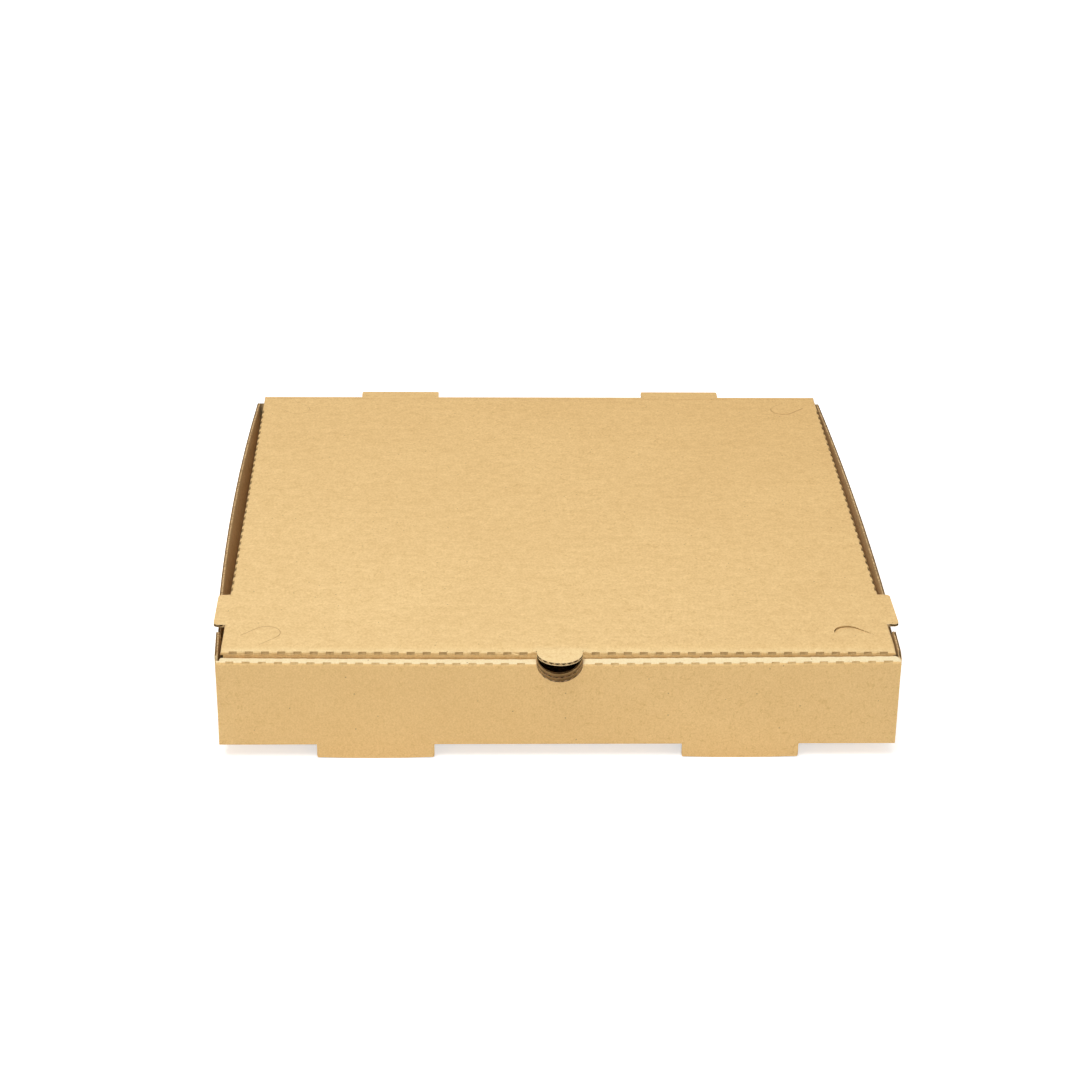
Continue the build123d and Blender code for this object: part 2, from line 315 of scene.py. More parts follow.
def tuckCorner(bm):
    # at the right the strip's end covers the front end of the side wall, which dips under it
    tuck = cornerTuck
    sliced, wall, strip = tuck["sliced"], tuck["wall"], tuck["strip"]
    for step in range(tuck["slices"] + 1):
        y = -tuck["from"] - (tuck["to"] - tuck["from"]) * step / tuck["slices"]
        end = [f for f in bm.faces if spanOf(f, 0)[0] > sliced["x"]]
        end = [f for f in end if spanOf(f, 1)[0] < sliced["y"] and spanOf(f, 2)[1] > sliced["z"]]
        sliceAt(bm, end, (0, y * mm, 0), yAxis)
    for v in bm.verts:
        x, y, z = v.co / mm
        if x > wall["x"] and wall["y"][0] < y < wall["y"][1]:
            v.co.z -= tuck["dip"] * eased(-y, tuck["from"], tuck["to"]) * eased(z, *wall["z"]) * mm
        elif strip["x"][0] < x < wall["x"] and z > strip["low"] and y < strip["back"]:
            v.co.x += tuck["wide"] * eased(x, *strip["x"]) * eased(-y, *strip["y"]) * mm


foldRoll = {
    "left": 0.4,       # drop at the left end, and from the middle to the right end
    "right": 1.05,
    "leftEnd": -178,
    "full": 1.0,       # the whole drop is reached this far behind the crease
    "behind": 9.0,     # and the lid is flat from here on
    "rows": (1.3, 2.4, 3.6, 4.9, 6.2, 7.6),
    "columns": 12,     # to each side
    "columnGap": 13.5,
    "thumb": (12.1, 17.0),  # flat inside the first, rolled outside the second
    "slices": 4,
    "deep": 1,         # the flap under the lid's board drops as a whole
}


def rollFold(bm):
    # the lid's front edge rolls down into its crease, beside the thumb tab, which stays flat
    crease, roll = boxPlan["crease"], foldRoll
    flat, rolled = roll["thumb"]

    def nearFold():
        return [f for f in bm.faces if spanOf(f, 1)[0] < crease + roll["behind"]]

    for back in (*roll["rows"], roll["behind"]):
        sliceAt(bm, nearFold(), (0, (crease + back) * mm, 0), yAxis)
    for i in range(-roll["columns"], roll["columns"] + 1):
        sliceAt(bm, nearFold(), (i * roll["columnGap"] * mm, 0, 0), xAxis)
    for side in (1, -1):
        for step in range(roll["slices"] + 1):
            x = flat + (rolled - flat) * step / roll["slices"]
            sliceAt(bm, nearFold(), (side * x * mm, 0, 0), xAxis)
    for v in bm.verts:
        x, y, z = v.co / mm
        drop = roll["left"] + (roll["right"] - roll["left"]) * eased(x, roll["leftEnd"], 0)
        beside = eased(abs(x), flat, rolled) if z > boxPlan["lidMid"] - roll["deep"] else 1
        v.co.z -= drop * beside * eased(-y, -crease - roll["behind"], -crease - roll["full"]) * mm


def cutFlutes(mesh, cutter, name, mats):
    # take the open cells out of the board; the walls of the cells keep the cutter's slot
    cutMesh = bpy.data.meshes.new(name + "Cells")
    cutter.to_mesh(cutMesh)
    cutter.free()
    board = bpy.data.objects.new(name, mesh)
    cells = bpy.data.objects.new(name + "Cells", cutMesh)
    for piece in (board, cells):
        bpy.context.scene.collection.objects.link(piece)
        for mat in mats:
            piece.data.materials.append(mat)
    cut = board.modifiers.new("flutes", "BOOLEAN")
    cut.operation, cut.solver, cut.object = "DIFFERENCE", "MANIFOLD", cells
    bpy.context.view_layer.update()
    done = bpy.data.meshes.new_from_object(board.evaluated_get(bpy.context.evaluated_depsgraph_get()))
    print(" ", name, "faces", len(mesh.polygons), "with flutes", len(done.polygons))
    board.modifiers.clear()
    board.data = done
    done.name = name
    bpy.data.objects.remove(cells)
    bpy.data.meshes.remove(mesh)
    bpy.data.meshes.remove(cutMesh)
    for poly in done.polygons:
        poly.use_smooth = True
    done.set_sharp_from_angle(angle=radians(boardStock["sharpAngle"]))
    weighted = board.modifiers.new("weighted", "WEIGHTED_NORMAL")
    weighted.keep_sharp = True
    return board


# paper; the node helpers take a material or a world
def addNode(mat, kind, inputs=None, **settings):
    node = mat.node_tree.nodes.new("ShaderNode" + kind)
    for key, value in settings.items():
        setattr(node, key, value)
    for key, value in (inputs or {}).items():
        if isinstance(value, bpy.types.NodeSocket):
            mat.node_tree.links.new(value, node.inputs[key])
        else:
            node.inputs[key].default_value = value
    return node


def mathNode(mat, operation, a, b=0.0, c=0.0):
    return addNode(mat, "Math", {0: a, 1: b, 2: c}, operation=operation).outputs[0]


def product(mat, first, *others):
    for other in others:
        first = mathNode(mat, "MULTIPLY", first, other)
    return first


def scaled(mat, coords, scale):
    return addNode(mat, "Mapping", {"Vector": coords, "Scale": scale}).outputs[0]


def noise(mat, coords, scale, detail, roughness=0.5):
    values = {"Vector": coords, "Scale": scale, "Detail": detail, "Roughness": roughness}
    return addNode(mat, "TexNoise", values).outputs[0]


def mixed(mat, factor, a, b, **settings):
    # blend of two colours
    return addNode(mat, "Mix", {0: factor, 6: a, 7: b}, data_type="RGBA", **settings).outputs[2]


def ranged(mat, value, low, high):
    values = {"Value": value, "From Min": low, "From Max": high}
    return addNode(mat, "MapRange", values, interpolation_type="SMOOTHSTEP").outputs[0]


def toned(mat, tone, dark, light):
    # from dark at 0 to light at 1, and on past both ends
    return mixed(mat, tone, dark, light, clamp_factor=False)


def paperMaterial(name, look):
    mat = bpy.data.materials.new(name)
    mat.use_nodes = True
    mat.diffuse_color = (*look["colour"], 1)
    shader = mat.node_tree.nodes["Principled BSDF"]
    shader.inputs["Specular IOR Level"].default_value = look["specular"]
    return mat, shader


linerLook = {
    "specular": 0.2,
    "clouds": 0.14,         # broad swing of tone
    "cloudScale": 14,
    "patches": 0.1,         # streaky patches a finger wide
    "patchScale": 85,
    "patchStretch": (0.45, 1, 1),
    "mottle": 0.44,         # pulp clumps, 5 mm down to half a millimetre
    "clump": 190,
    "clumpStretch": (0.75, 1, 1),
    "grain": 0.58,
    "grainScale": 760,
    "grainStretch": (1, 0.7, 0.9),
    "contrast": 4,
    "toneEnds": (-0.6, 1.2),
    "fibres": 0.55,         # thin curled strands
    "fibreWidth": 0.03,
    "fibreScale": 210,
    "fibreBreaks": 330,
    "fibreShifts": ((0, 0, 0), (0.37, 0.21, 0.11)),
    "specks": 0.65,         # dark flecks of recycled pulp
    "speckScale": 170,
    "speckSize": 0.07,
    "speckShare": 0.55,     # part of the fleck cells left empty
    "speckColour": (0.34, 0.19, 0.08, 1),
    "roughness": (0.72, 0.9),
    "bump": 0.3,
    "bumpDepth": 0.06,
    "clumpBump": 2.0,
    "washboard": 0.15,
    "farShade": (1, 1, 1),     # painted shade: darker, warmer tint at the right rear corner
    "farShadeSlope": (1.0, 1.85),
}


def strands(mat, coords, shift, look):
    # contour lines of a noise, broken up by a second one: short curled fibres
    moved = addNode(mat, "Mapping", {"Vector": coords, "Location": shift}).outputs[0]
    field = noise(mat, moved, look["fibreScale"], 1, 0.4)
    off = mathNode(mat, "ABSOLUTE", mathNode(mat, "SUBTRACT", field, 0.5))
    breaks = ranged(mat, noise(mat, moved, look["fibreBreaks"], 0), 0.5, 0.62)
    return product(mat, ranged(mat, off, look["fibreWidth"], 0.0), breaks)


def slitShadeLine(mat, place, slit):
    # painted shade: a dark line along part of the U-shaped cut round a push-in tongue, where the slit's shadow
    # falls
    dx, dy = (mathNode(mat, "SUBTRACT", place.outputs[k], slit["at"][k] * mm) for k in (0, 1))
    toX, toY = Vector(slit["root"]).normalized()
    along = mathNode(mat, "MULTIPLY_ADD", dx, toX, product(mat, dy, toY))
    across = mathNode(mat, "MULTIPLY_ADD", dx, toY, product(mat, dy, -toX))
    end = mathNode(mat, "MINIMUM", along, 0.0)
    reach = mathNode(mat, "SQRT", mathNode(mat, "MULTIPLY_ADD", across, across, product(mat, end, end)))
    off = mathNode(mat, "ABSOLUTE", mathNode(mat, "SUBTRACT", reach, slit["radius"] * mm))
    line = ranged(mat, off, slit["width"] * mm, slit["core"] * slit["width"] * mm)
    within = mathNode(mat, "LESS_THAN", along, slit["side"] * mm)
    shown = ranged(mat, across, slit["from"] * mm, slit["full"] * mm)
    return product(mat, line, within, shown, slit["amount"])


def linerMaterial(name, light, dark, palePatch=None, paintedCreaseLight=(), slits=(), **changes):
    look = dict(linerLook, colour=light[:3], **changes)
    mat, shader = paperMaterial(name, look)
    links = mat.node_tree.links
    texture = addNode(mat, "TexCoord")
    coords = texture.outputs["Object"]
    place = addNode(mat, "SeparateXYZ", {0: coords})
    turned = addNode(mat, "SeparateXYZ", {0: texture.outputs["Normal"]})
    clouds = noise(mat, coords, look["cloudScale"], 3)
    patches = noise(mat, scaled(mat, coords, look["patchStretch"]), look["patchScale"], 2)
    mottle = noise(mat, scaled(mat, coords, look["clumpStretch"]), look["clump"], 5, 0.68)
    grain = noise(mat, scaled(mat, coords, look["grainStretch"]), look["grainScale"], 3, 0.75)
    flecks = addNode(mat, "TexVoronoi", {"Vector": coords, "Scale": look["speckScale"]})
    near = mathNode(mat, "LESS_THAN", flecks.outputs["Distance"], look["speckSize"])
    chance = addNode(mat, "SeparateColor", {0: flecks.outputs["Color"]}).outputs[0]
    specks = product(mat, near, mathNode(mat, "GREATER_THAN", chance, look["speckShare"]))
    fibres = [strands(mat, coords, shift, look) for shift in look["fibreShifts"]]
    fibres = product(mat, mathNode(mat, "MAXIMUM", *fibres), ranged(mat, clouds, 0.35, 0.6))
    tone = 0.5
    for part, key in ((clouds, "clouds"), (patches, "patches"), (mottle, "mottle"), (grain, "grain")):
        swing = mathNode(mat, "SUBTRACT", part, 0.5)
        tone = mathNode(mat, "MULTIPLY_ADD", swing, look[key] * look["contrast"], tone)
    tone = mathNode(mat, "MULTIPLY_ADD", fibres, -look["fibres"], tone)
    lowest, highest = look["toneEnds"]
    tone = addNode(mat, "Clamp", {0: tone, "Min": lowest, "Max": highest}).outputs[0]
    colour = toned(mat, tone, dark, light)
    if palePatch:
        # its lower end follows the sag of the strip
        across = mathNode(mat, "POWER", mathNode(mat, "ABSOLUTE", place.outputs[0]), 2.0)
        rise = (stripSag["ends"] - stripSag["middle"]) / boxPlan["sideIn"] ** 2 / mm
        sag = mathNode(mat, "MULTIPLY_ADD", across, rise, stripSag["middle"] * mm)
        level = mathNode(mat, "SUBTRACT", place.outputs[2], sag)
        onTop = ranged(mat, level, palePatch["low"] * mm, palePatch["high"] * mm)
        inFront = ranged(mat, place.outputs[1], palePatch["back"] * mm, palePatch["front"] * mm)
        pale = toned(mat, tone, palePatch["dark"], palePatch["light"])
        colour = mixed(mat, product(mat, onTop, inFront), colour, pale)
    # painted highlight along the lid's front crease, and painted shade on the flap under it
    for patch in paintedCreaseLight:
        axis, low, high = patch["facing"]
        facing = ranged(mat, turned.outputs[axis], low, high)
        axis, low, high = patch["reach"]
        amount = product(mat, facing, ranged(mat, place.outputs[axis], low * mm, high * mm))
        colour = mixed(mat, amount, colour, toned(mat, tone, patch["dark"], patch["light"]))
    # painted shade along the slits round the push-in tongues
    for slit in slits:
        colour = mixed(mat, slitShadeLine(mat, place, slit), colour, slit["colour"])
    colour = mixed(mat, product(mat, specks, look["specks"]), colour, look["speckColour"])
    # painted shade: the colour darkens and warms towards the right rear corner
    slopeX, slopeY = look["farShadeSlope"]
    far = mathNode(mat, "MULTIPLY_ADD", place.outputs[1], slopeY, 0.5)
    far = mathNode(mat, "MULTIPLY_ADD", place.outputs[0], slopeX, far)
    colour = mixed(mat, far, colour, (*look["farShade"], 1), blend_type="MULTIPLY")
    links.new(colour, shader.inputs["Base Color"])
    smooth, rough = look["roughness"]
    gloss = addNode(mat, "MapRange", {"Value": mottle, "To Min": smooth, "To Max": rough})
    links.new(gloss.outputs[0], shader.inputs["Roughness"])
    # flutes show through the liner as faint ribs, across X or up the side panels
    sideways = mathNode(mat, "GREATER_THAN", mathNode(mat, "ABSOLUTE", turned.outputs[0]), 0.7)
    turn = 2 * pi / (boardStock["pitch"] * mm)
    ribs = [mathNode(mat, "SINE", product(mat, place.outputs[k], turn)) for k in (0, 2)]
    rib = addNode(mat, "Mix", {0: sideways, 2: ribs[0], 3: ribs[1]}).outputs[0]
    height = mathNode(mat, "MULTIPLY_ADD", rib, look["washboard"], product(mat, mottle, look["clumpBump"]))
    bump = {"Height": height, "Strength": look["bump"], "Distance": look["bumpDepth"] * mm}
    links.new(addNode(mat, "Bump", bump).outputs[0], shader.inputs["Normal"])
    return mat


rawLook = {"specular": 0.15, "contrast": (0.32, 0.68), "roughness": 0.92, "bump": 0.6, "bumpDepth": 0.15}


def rawMaterial(name, light, dark, scale, rim=None, torn=None):
    # torn and crushed paper of a cut edge, or the paper inside the flutes
    look = dict(rawLook, colour=light[:3])
    mat, shader = paperMaterial(name, look)
    coords = addNode(mat, "TexCoord").outputs["Object"]
    place = addNode(mat, "SeparateXYZ", {0: coords})
    grain = noise(mat, coords, scale, 4, 0.7)
    colour = mixed(mat, ranged(mat, grain, *look["contrast"]), dark, light)
    if torn:
        # fresh fibres where fingers have worn the notch, painted paler and warmer; partly painted light that
        # lifts the shade inside the notch
        aside = mathNode(mat, "ABSOLUTE", place.outputs["X"])
        share = ranged(mat, aside, torn["half"] * mm, (torn["half"] - torn["fade"]) * mm)
        inFront = mathNode(mat, "LESS_THAN", place.outputs["Y"], torn["back"] * mm)
        above = mathNode(mat, "GREATER_THAN", place.outputs["Z"], torn["low"] * mm)
        fibres = ranged(mat, noise(mat, coords, torn["scale"], 3, 0.7), *torn["contrast"])
        freshAndLit = mixed(mat, fibres, torn["dark"], torn["light"])
        colour = mixed(mat, product(mat, share, inFront, above), colour, freshAndLit)
    if rim:
        # the two liners show as pale lines along the edge of a panel
        pale = 0.0
        for axis, middle in rim["panels"]:
            off = mathNode(mat, "ABSOLUTE", mathNode(mat, "SUBTRACT", place.outputs[axis], middle * mm))
            near = ranged(mat, off, rim["from"] * mm, rim["full"] * mm)
            near = product(mat, near, mathNode(mat, "LESS_THAN", off, rim["reach"] * mm))
            pale = mathNode(mat, "MAXIMUM", near, pale)
        worn = ranged(mat, noise(mat, coords, rim["wearScale"], 2), *rim["wear"])
        colour = mixed(mat, product(mat, pale, worn), colour, rim["colour"])
    mat.node_tree.links.new(colour, shader.inputs["Base Color"])
    shader.inputs["Roughness"].default_value = look["roughness"]
    bump = {"Height": grain, "Strength": look["bump"], "Distance": look["bumpDepth"] * mm}
    mat.node_tree.links.new(addNode(mat, "Bump", bump).outputs[0], shader.inputs["Normal"])
    return mat


rollPatch = {  # the rolled top strip, paler
    "low": 48.8,
    "high": 49.25,
    "back": -173.5,
    "front": -174.1,
    "light": (0.96, 0.82, 0.525, 1),
    "dark": (0.88, 0.695, 0.395, 1),
}
lidCreaseHighlightShade = (  # the lid's front crease: a painted highlight along it, and painted shade on the flap just under it
    # painted highlight on the lid's top where it rolls into the crease
    {
        "facing": (2, 0.45, 0.85),  # axis, then the turn of the face from none to full
        "reach": (1, boxPlan["crease"] + 7.0, boxPlan["crease"] + 0.6),
        "light": (0.955, 0.73, 0.385, 1),
        "dark": (0.84, 0.60, 0.29, 1),
    },
    # painted shade on the front of the flap just under the crease
    {
        "facing": (1, -0.45, -0.85),
        "reach": (2, boxPlan["lidTop"] - 3.0, boxPlan["lidTop"] - 1.7),
        "light": (0.72, 0.48, 0.21, 1),
        "dark": (0.60, 0.38, 0.155, 1),
    },
)
# the colour is the painted shade along the tongues' slits
tongueCut = {"radius": 7.5, "side": 11.5, "core": 0.2, "colour": (0.43, 0.225, 0.085, 1)}
rearCut = {"at": (155.2, 158.4), "root": (1, 1), "width": 0.75, "from": -8.0, "full": -3.0, "amount": 0.52}
frontCut = {"at": (-155.2, -151.9), "root": (-1, -1), "width": 0.4, "from": -9.0, "full": -8.5, "amount": 0.4}
lidSlitShades = [dict(tongueCut, **cut) for cut in (rearCut, frontCut)]
linerRim = {
    "from": 0.36,
    "full": 0.52,
    "reach": 0.9,
    "wearScale": 260,
    "wear": (0.36, 0.5),
    "colour": (0.84, 0.63, 0.34, 1),
}
lidRim = dict(linerRim, panels=[(2, boxPlan["lidMid"])])
trayRim = dict(linerRim, panels=[(1, boxPlan[k]) for k in ("frontMid", "innerMid", "backMid")])
# paler torn fibres at the finger notch, partly painted light over its shade
notchTornAndLit = {
    "half": 20.0,
    "fade": 2.0,
    "back": -165.0,
    "low": 32.0,
    "scale": 900,
    "contrast": (0.36, 0.6),
    "light": (0.98, 0.72, 0.47, 1),
    "dark": (0.66, 0.40, 0.23, 1),
}
trayKraft = ((0.88, 0.60, 0.27, 1), (0.73, 0.47, 0.188, 1))  # light and dark
trayPulp = {"clump": 300, "mottle": 0.16, "grain": 0.6, "grainScale": 1050, "patches": 0.04}
# the same kraft as the tray's, painted lighter and paler: painted light on the lid
lidKraftLitCopy = ((0.896, 0.643, 0.31, 1), (0.752, 0.51, 0.2266, 1))
# painted shade towards the right rear, and a finer grain
lidFarShadeAndGrain = {"farShade": (0.932, 0.86, 0.745), "grain": 0.66}
trayLiner = linerMaterial("trayLiner", *trayKraft, rollPatch, **trayPulp)
lidLiner = linerMaterial("lidLiner", *lidKraftLitCopy, None, lidCreaseHighlightShade, lidSlitShades, **lidFarShadeAndGrain)
insideLiner = linerMaterial("insideLiner", (0.70, 0.49, 0.25, 1), (0.56, 0.38, 0.175, 1))
trayRaw = rawMaterial("trayRaw", (0.74, 0.50, 0.25, 1), (0.30, 0.18, 0.078, 1), 620, trayRim, notchTornAndLit)
lidRaw = rawMaterial("lidRaw", (0.62, 0.42, 0.20, 1), (0.30, 0.18, 0.075, 1), 620, lidRim)
trayScore = rawMaterial("trayScore", (0.75, 0.53, 0.255, 1), (0.58, 0.39, 0.17, 1), 420)
lidScore = rawMaterial("lidScore", (0.53, 0.352, 0.156, 1), (0.39, 0.25, 0.104, 1), 420)
fluteMedium = rawMaterial("fluteMedium", (0.34, 0.205, 0.085, 1), (0.19, 0.11, 0.042, 1), 600)
trayPapers = (trayLiner, trayRaw, fluteMedium, insideLiner, trayScore)
lidPapers = (lidLiner, lidRaw, fluteMedium, insideLiner, lidScore)
print("papers ready")

# tray
trayParts = {
    "finger": {"cells": 8, "low": 34.5, "length": 12.0},
    "feet": {"spread": 194.0, "cells": 18, "low": -8.6, "length": 12.0},
    "locks": {"cells": 16, "low": -4.6, "length": 8.5},
    "vents": {"spread": 180.8, "cells": 14, "low": 30.6, "length": 12.4},
    "wallEnd": {"x": 177.6, "low": 3.0, "length": 43.0},
    "rearFlap": {"end": 131.8, "y": 174.3, "low": 3.2, "cells": 12, "length": 14.0},
    "sideRows": {"low": 42.2, "cells": 3, "inset": 1},
    "right": {"bow": 3.0, "flare": 0.2, "lean": 0.6},
    "left": {"bow": 4.6, "flare": 2.0, "lean": 0.6},
    "scallops": {"first": 20.4, "pitch": 8.46, "count": 19, "size": (4.2, 2.2, 1.6), "back": -173.8},
}


def sprung(wall, side):
    # how far a side wall leans out at a point, straight at the floor and an arc at the top
    start, end, foot = boxPlan["sideFront"], boxPlan["sideRear"], boardStock["thick"]

    def lean(y, z):
        s = (y - start) / (end - start)
        out = wall["lean"] * (1 - s) + wall["flare"] * s + wall["bow"] * 4 * s * (1 - s)
        return side * out * (z - foot) / (boxPlan["wallTop"] - foot)

    return lean


def trayFlutes():
    cutter = bmesh.new()
    finger, feet, locks, vents = (trayParts[k] for k in ("finger", "feet", "locks", "vents"))
    for y in (boxPlan["frontMid"], boxPlan["innerMid"]):
        bankAcross(cutter, 0, y, finger["low"], finger["cells"], zAxis, yAxis, finger["length"], (1,))
    for side in (1, -1):
        x = side * feet["spread"] / 2
        bankAcross(cutter, x, boxPlan["frontMid"], feet["low"], feet["cells"], zAxis, yAxis, feet["length"])
        bankAcross(cutter, x, boxPlan["innerMid"], locks["low"], locks["cells"], zAxis, yAxis, locks["length"])
        x = side * vents["spread"] / 2
        bankAcross(cutter, x, boxPlan["backMid"], vents["low"], vents["cells"], zAxis, yAxis, vents["length"])
        end, out = trayParts["wallEnd"], side * xAxis
        corner = (side * end["x"], boxPlan["frontMid"], end["low"])
        addBank(cutter, laidOut(corner, out, zAxis, yAxis), 1, end["length"])
        flap = trayParts["rearFlap"]
        corner = (side * flap["end"], flap["y"], flap["low"])
        addBank(cutter, laidOut(corner, zAxis, out, yAxis), flap["cells"], flap["length"])
        rows = trayParts["sideRows"]
        wall = trayParts["right" if side > 0 else "left"]
        x, y = side * (boxPlan["sideIn"] + boardStock["thick"] / 2), boxPlan["sideFront"] + rows["inset"]
        length = boxPlan["sideRear"] - boxPlan["sideFront"] - 2 * rows["inset"]
        upright = laidOut((x, y, rows["low"]), zAxis, yAxis, xAxis)
        addBank(cutter, upright, rows["cells"], length, sprung(wall, side), (side,))
    # dashes of the strip's rear fold
    row = trayParts["scallops"]
    for i in range(row["count"]):
        for x in (row["first"] + i * row["pitch"], -row["first"] - i * row["pitch"]):
            top = boxPlan["frontTop"] + sagAt(x) + tiltAt(x)
            place = Matrix.Translation(Vector((x, row["back"], top)) * mm)
            size = Matrix.Diagonal((*(Vector(row["size"]) * mm), 1))
            bmesh.ops.create_cube(cutter, size=1, matrix=place @ size)
    return cutter


tray = cutFlutes(boardCopy("tray", "trayBoard"), trayFlutes(), "trayBoard", trayPapers)
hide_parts("tray")
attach(tray, "tray")
print("tray board cut")

# lid
lidParts = {
    "thumb": {"cells": 8, "reach": 13.8, "length": 19.0, "tall": 1.18},
    "rearTabs": {"spread": 180.8, "cells": 16, "start": 179.5, "length": 9.4},
    "sideTabs": {"start": -143.0, "out": 178.3, "cells": 2, "length": 37.0},
    "frontFlap": {"lean": 5.0, "height": 40.0, "under": 0.5, "cells": 109, "length": 13.0},
    "thumbHole": {"cells": 8, "up": 25.4, "length": 11.5},
    "sideFlaps": {"x": 177.0, "low": 15.8, "cells": 10, "length": 14.0, "front": -168.0, "rear": 152.0},
    "tabHoles": {"low": 46.1, "start": -149.0, "length": 48.0},
}


def lidFlutes():
    cutter = bmesh.new()
    lidMid = boxPlan["lidMid"]
    thumb, tabs, ears = lidParts["thumb"], lidParts["rearTabs"], lidParts["sideTabs"]
    start = boxPlan["crease"] - thumb["reach"]
    bankAcross(cutter, 0, start, lidMid, thumb["cells"], yAxis, zAxis * thumb["tall"], thumb["length"], (1,))
    # front flap, which leans back from the crease
    flap, hole = lidParts["frontFlap"], lidParts["thumbHole"]
    lean = radians(flap["lean"])
    up, inward = Vector((0, -sin(lean), cos(lean))), Vector((0, cos(lean), sin(lean)))
    foot = Vector((0, boxPlan["crease"], boxPlan["lidTop"])) - up * flap["height"]
    foot += inward * boardStock["thick"] / 2
    low, high = foot - up * flap["under"], foot + up * hole["up"]
    bankAcross(cutter, 0, low.y, low.z, flap["cells"], up, inward, flap["length"])
    bankAcross(cutter, 0, high.y, high.z, hole["cells"], up, inward, hole["length"])
    panel, gap = lidParts["sideFlaps"], lidParts["tabHoles"]
    for side in (1, -1):
        x = side * tabs["spread"] / 2
        bankAcross(cutter, x, tabs["start"], lidMid, tabs["cells"], yAxis, zAxis, tabs["length"])
        corner = (side * ears["out"], ears["start"], lidMid)
        addBank(cutter, laidOut(corner, side * xAxis, yAxis, zAxis), ears["cells"], ears["length"])
        for y in (panel["front"], panel["rear"]):
            corner = (side * panel["x"], y, panel["low"])
            addBank(cutter, laidOut(corner, zAxis, yAxis, xAxis), panel["cells"], panel["length"])
        corner = (side * panel["x"], gap["start"], gap["low"])
        addBank(cutter, laidOut(corner, zAxis, yAxis, xAxis), 1, gap["length"])
    return cutter


lid = cutFlutes(boardCopy("lid", "lidBoard"), lidFlutes(), "lidBoard", lidPapers)
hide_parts("lid")
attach(lid, "lid")
print("lid board cut")

# outer liner over the hinge crease, which carries on from the back wall to the lid
hingePaper = {
    "width": 355.2,
    "radius": 0.88,
    "down": 1.6,
    "in": 2.6,
    "cuts": 40,
    "steps": 10,
    "thick": 0.06,
    "sharpAngle": 40,
}


def hingeLiner():
    size = hingePaper
    axis = Vector((0, boxPlan["backMid"], boxPlan["lidMid"])) * mm
    bm = bmesh.new()
    y = axis.y + size["radius"] * mm
    ends = [bm.verts.new((side * size["width"] / 2 * mm, y, axis.z)) for side in (-1, 1)]
    bm.edges.new(ends)
    bmesh.ops.subdivide_edges(bm, edges=bm.edges[:], cuts=size["cuts"])
    first = bm.edges[:]
    spun = bmesh.ops.spin(bm, geom=first, cent=axis, axis=xAxis, angle=pi / 2, steps=size["steps"])
    turned = spun["geom_last"]
    for edges, step in ((first, (0, 0, -size["down"] * mm)), (turned, (0, -size["in"] * mm, 0))):
        line = [e for e in edges if isinstance(e, bmesh.types.BMEdge)]
        grown = bmesh.ops.extrude_edge_only(bm, edges=line)["geom"]
        bmesh.ops.translate(bm, vec=step, verts=[v for v in grown if isinstance(v, bmesh.types.BMVert)])
    bmesh.ops.remove_doubles(bm, verts=bm.verts, dist=boardStock["sliver"] * mm)
    bmesh.ops.recalc_face_normals(bm, faces=bm.faces)
    if sum(f.normal.y + f.normal.z for f in bm.faces) < 0:
        bmesh.ops.reverse_faces(bm, faces=bm.faces)
    bmesh.ops.solidify(bm, geom=bm.faces[:], thickness=size["thick"] * mm)
    mesh = bpy.data.meshes.new("hingeLiner")
    bm.to_mesh(mesh)
    bm.free()
    mesh.materials.append(lidLiner)
    for poly in mesh.polygons:
        poly.use_smooth = True
    mesh.set_sharp_from_angle(angle=radians(size["sharpAngle"]))
    piece = bpy.data.objects.new("hingeLiner", mesh)
    bpy.context.scene.collection.objects.link(piece)
    return piece


hinge = hingeLiner()
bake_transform(hinge)
print("hinge liner laid")

# floor: the box stands on its lock feet and its rear bottom fold, so it tips back a little
floorLook = {
    "size": 14.0,
    "frontY": -178.6,
    "footZ": -7.9,
    "rearY": 178.2,
    "gap": 0.05,
    "colour": (0.9, 0.9, 0.9),
    "lift": 0.6,
    "farLift": 0.82,     # out where the lamps no longer reach
    "fade": (0.7, 2.6),  # metres from the box
}


def whiteFloor():
    bm = bmesh.new()
    bmesh.ops.create_grid(bm, x_segments=2, y_segments=2, size=floorLook["size"] / 2)
    slope = atan2(-floorLook["footZ"], floorLook["rearY"] - floorLook["frontY"])
    touch = Vector((0, floorLook["frontY"] * mm, (floorLook["footZ"] - floorLook["gap"]) * mm))
    tipped = Matrix.Translation(touch) @ Matrix.Rotation(slope, 4, "X")
    bmesh.ops.transform(bm, matrix=tipped, verts=bm.verts)
    mesh = bpy.data.meshes.new("floor")
    bm.to_mesh(mesh)
    bm.free()
    mat = bpy.data.materials.new("floorWhite")
    mat.use_nodes = True
    tree = mat.node_tree
    shader = tree.nodes["Principled BSDF"]
    shader.inputs["Base Color"].default_value = (*floorLook["colour"], 1)
    shader.inputs["Roughness"].default_value = 1.0
    shader.inputs["Specular IOR Level"].default_value = 0.0
    # camera, glossy and see-through rays find the floor a little brighter, so that it reads white
    path = addNode(mat, "LightPath").outputs
    seen = mathNode(mat, "MAXIMUM", path["Is Camera Ray"], path["Is Glossy Ray"])
    seen = mathNode(mat, "MAXIMUM", seen, path["Is Transmission Ray"])
    shader.inputs["Emission Color"].default_value = (1, 1, 1, 1)
    coords = addNode(mat, "TexCoord").outputs["Object"]
    away = addNode(mat, "VectorMath", {0: coords}, operation="LENGTH").outputs[1]
    rise = product(mat, ranged(mat, away, *floorLook["fade"]), floorLook["farLift"] - floorLook["lift"])
    lift = mathNode(mat, "ADD", rise, floorLook["lift"])
    tree.links.new(product(mat, seen, lift), shader.inputs["Emission Strength"])
    mesh.materials.append(mat)
    piece = bpy.data.objects.new("floor", mesh)
    bpy.context.scene.collection.objects.link(piece)


whiteFloor()

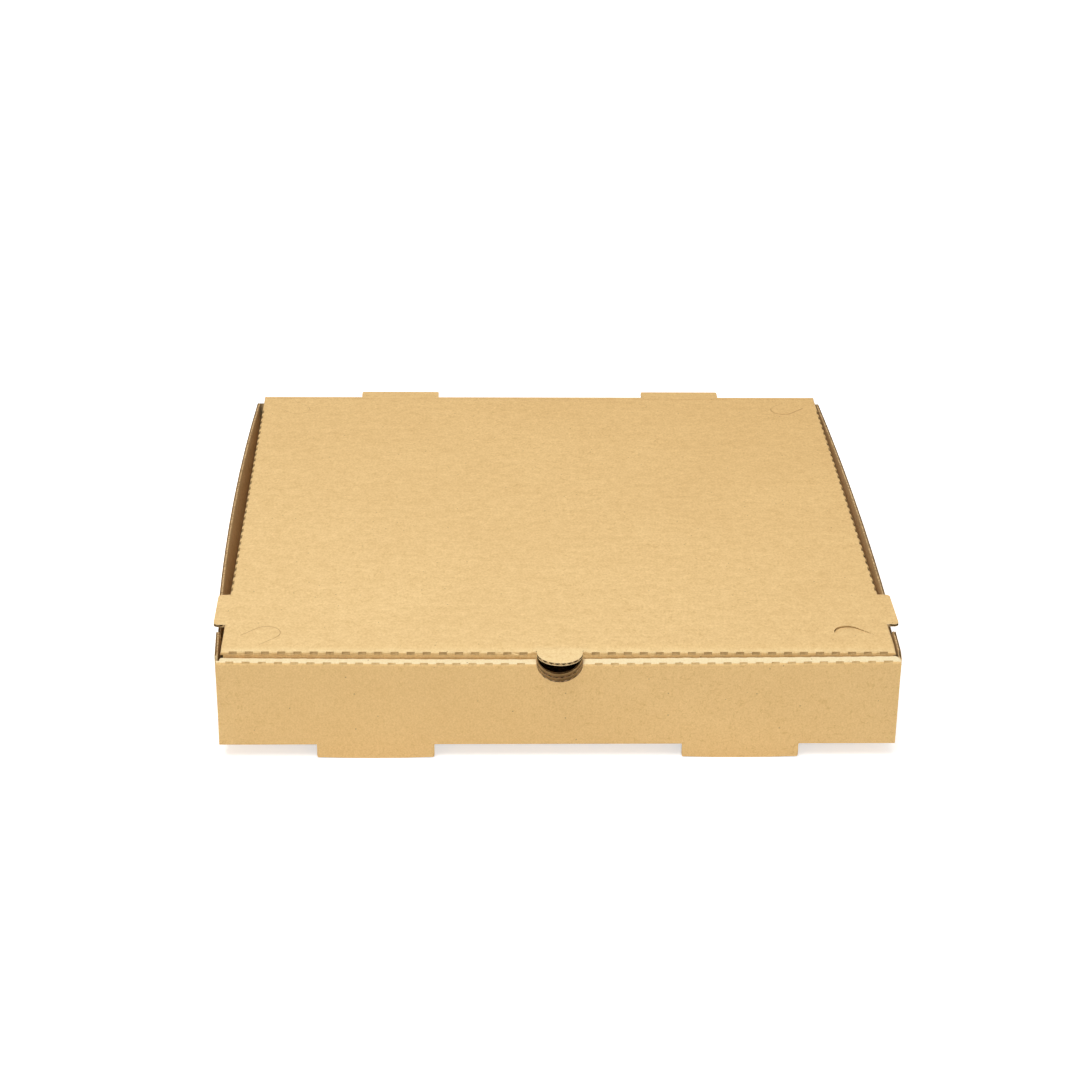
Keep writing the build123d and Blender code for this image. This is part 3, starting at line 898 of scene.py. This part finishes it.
# light
lampLook = {
    "key": {"at": (-0.35, -0.55, 1.9), "size": 1.8, "watts": 32.3},
    "fill": {"at": (0.2, -2.4, 0.5), "size": 1.6, "watts": 10},
    "back": {"at": (0.2, 2.0, 0.75), "size": 1.4, "watts": 7},
    "sky": 0.25,
}


def studioLight():
    for name in ("key", "fill", "back"):
        look = lampLook[name]
        lamp = bpy.data.lights.new(name, "AREA")
        lamp.shape = "DISK"
        lamp.size, lamp.energy = look["size"], look["watts"]
        piece = bpy.data.objects.new(name, lamp)
        piece.location = look["at"]
        piece.rotation_euler = (-Vector(look["at"])).to_track_quat("-Z", "Y").to_euler()
        bpy.context.scene.collection.objects.link(piece)
    world = bpy.data.worlds.new("studio")
    world.use_nodes = True
    bpy.context.scene.world = world
    sky = world.node_tree.nodes["Background"]
    sky.inputs[0].default_value = (1, 1, 1, 1)
    path = addNode(world, "LightPath").outputs
    seen = mathNode(world, "MAXIMUM", path["Is Camera Ray"], path["Is Glossy Ray"])
    seen = mathNode(world, "MAXIMUM", seen, path["Is Transmission Ray"])
    level = addNode(world, "MapRange", {0: seen, "To Min": lampLook["sky"], "To Max": 1.0})
    world.node_tree.links.new(level.outputs[0], sky.inputs[1])


studioLight()
print("floor and light set")

# camera
cameraLook = {
    "at": (-0.0545, -1.3784, 0.6888),
    "yaw": 2.054,
    "pitch": 25.346,
    "roll": 0.888,
    "focal": 2594,  # pixels of a 1080 pixel frame
    "frame": 1080,
    "sensor": 36,
}


def photoCamera():
    yaw, pitch, roll = (radians(cameraLook[k]) for k in ("yaw", "pitch", "roll"))
    ahead = Vector((sin(yaw) * cos(pitch), cos(yaw) * cos(pitch), -sin(pitch)))
    right = Vector((cos(yaw), -sin(yaw), 0))
    up = right.cross(ahead)
    turned = (cos(roll) * right + sin(roll) * up, cos(roll) * up - sin(roll) * right, -ahead)
    data = bpy.data.cameras.new("photoCamera")
    data.sensor_width = cameraLook["sensor"]
    data.lens = cameraLook["focal"] / cameraLook["frame"] * cameraLook["sensor"]
    camera = bpy.data.objects.new("photoCamera", data)
    camera.matrix_world = laidOut(Vector(cameraLook["at"]) / mm, *turned)
    bpy.context.scene.collection.objects.link(camera)
    bpy.context.scene.camera = camera


photoCamera()
bpy.context.scene.view_settings.view_transform = "Standard"
